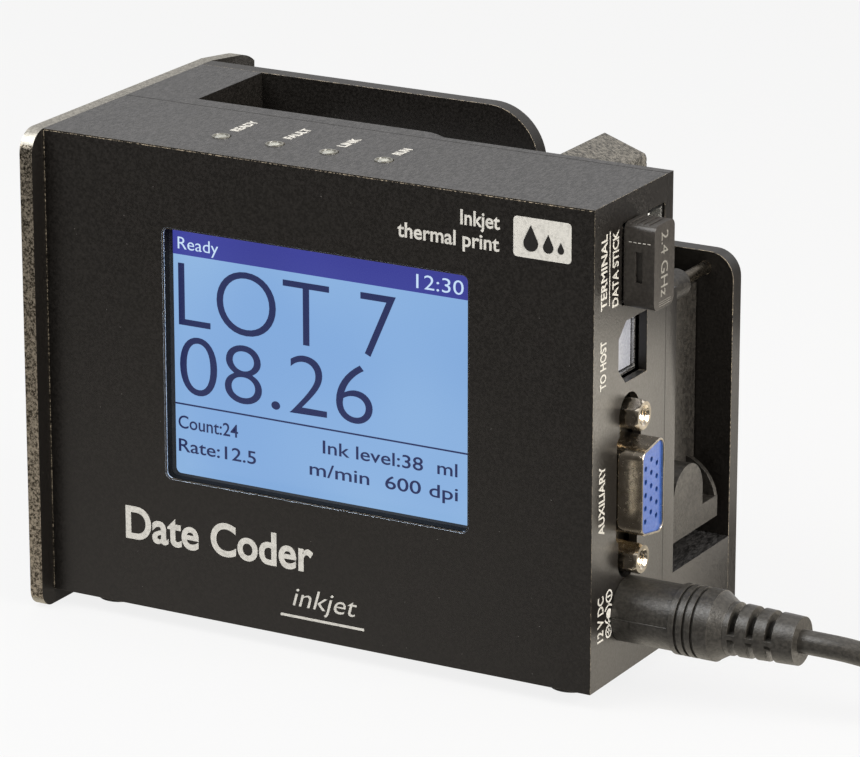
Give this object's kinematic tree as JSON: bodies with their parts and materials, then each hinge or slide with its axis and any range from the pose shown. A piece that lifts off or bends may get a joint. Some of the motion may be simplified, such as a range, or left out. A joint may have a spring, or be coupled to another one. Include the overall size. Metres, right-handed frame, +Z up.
{
  "type": "date code inkjet printer",
  "caption": "Compact fixed-mount thermal inkjet date coder: black metal case with a colour screen, side ports, a cartridge bay behind and a product-side wear plate.",
  "frame": {"origin": "middle of the object on the surface it stands on, without the power lead", "axes": "+X away from the products, along the screen; +Y from the screen to the cartridge bay; +Z up"},
  "size_m": [0.2605, 0.0879, 0.0859],
  "materials": {
    "black_case": "satin",
    "bare_aluminium": "brushed",
    "rubber": "matte",
    "black_steel": "satin",
    "bright_steel": "satin",
    "nickel": "polished",
    "lcd_glass": "gloss",
    "lamp_clear": "gloss",
    "board": "satin",
    "brass": "satin",
    "black_plastic": "satin",
    "white_plastic": "satin",
    "blue_plastic": "satin",
    "polyimide": "satin",
    "cable_pvc": "satin"
  },
  "bodies": {
    "root": {"front_cover": "black_case", "chassis": "black_case", "rear_plate": "black_case", "wear_plate": "bare_aluminium", "feet": "rubber", "cover_screws": "black_steel", "wear_plate_screws": "bright_steel", "rear_plate_screws": "black_steel", "lcd_gasket": "rubber", "lcd_frame": "bright_steel", "lcd_panel": "lcd_glass", "lcd_flex": "polyimide", "main_pcb": "board", "pcb_standoffs": "brass", "pcb_screws": "bright_steel", "led_sensor": "lamp_clear", "led_alarm": "lamp_clear", "led_link": "lamp_clear", "led_print": "lamp_clear", "coin_cell": "bright_steel", "cell_holder": "black_plastic", "photocell": "black_plastic", "usb_a_shell": "bright_steel", "usb_a_tongues": "white_plastic", "usb_b_shell": "bright_steel", "usb_b_core": "white_plastic", "dsub_shell": "nickel", "dsub_insert": "blue_plastic", "dsub_jackscrews": "nickel", "dsub_housing": "black_plastic", "dc_jack": "black_plastic", "contact_block": "black_plastic", "contact_pins": "brass", "contact_flex": "polyimide", "cross_pin": "bright_steel", "lever_spring": "bright_steel", "dc_plug": "cable_pvc", "dc_barrel": "nickel", "plug_relief": "cable_pvc", "power_cord": "cable_pvc", "cord_coil": "cable_pvc", "coil_tie": "black_plastic", "cord_tail": "cable_pvc", "adapter_relief": "cable_pvc", "adapter_body": "black_plastic", "adapter_blades": "nickel"},
    "cartridge": {"cartridge_body": "black_plastic", "cartridge_lid": "black_plastic", "cartridge_grip": "black_plastic", "nozzle_plate": "polyimide", "cartridge_contacts": "polyimide"},
    "retainer": {"retainer_lever": "black_case"},
    "receiver": {"receiver_body": "black_plastic", "receiver_plug": "bright_steel"}
  },
  "joints": [
    {"name": "cartridge_slide", "type": "slide", "parent": "root", "child": "cartridge", "axis": [1, 0, 0], "range_m": [0, 0.018]},
    {"name": "retainer_swing", "type": "hinge", "parent": "root", "child": "retainer", "pos_m": [0.0457, 0.01031, 0.0623], "axis": [0, -1, 0], "range_deg": [0, 75], "stiffness_Nm_per_rad": 0.02, "springref_deg": -17.19},
    {"name": "receiver_pull", "type": "slide", "parent": "root", "child": "receiver", "axis": [1, 0, 0], "range_m": [0, 0.014]}
  ]
}
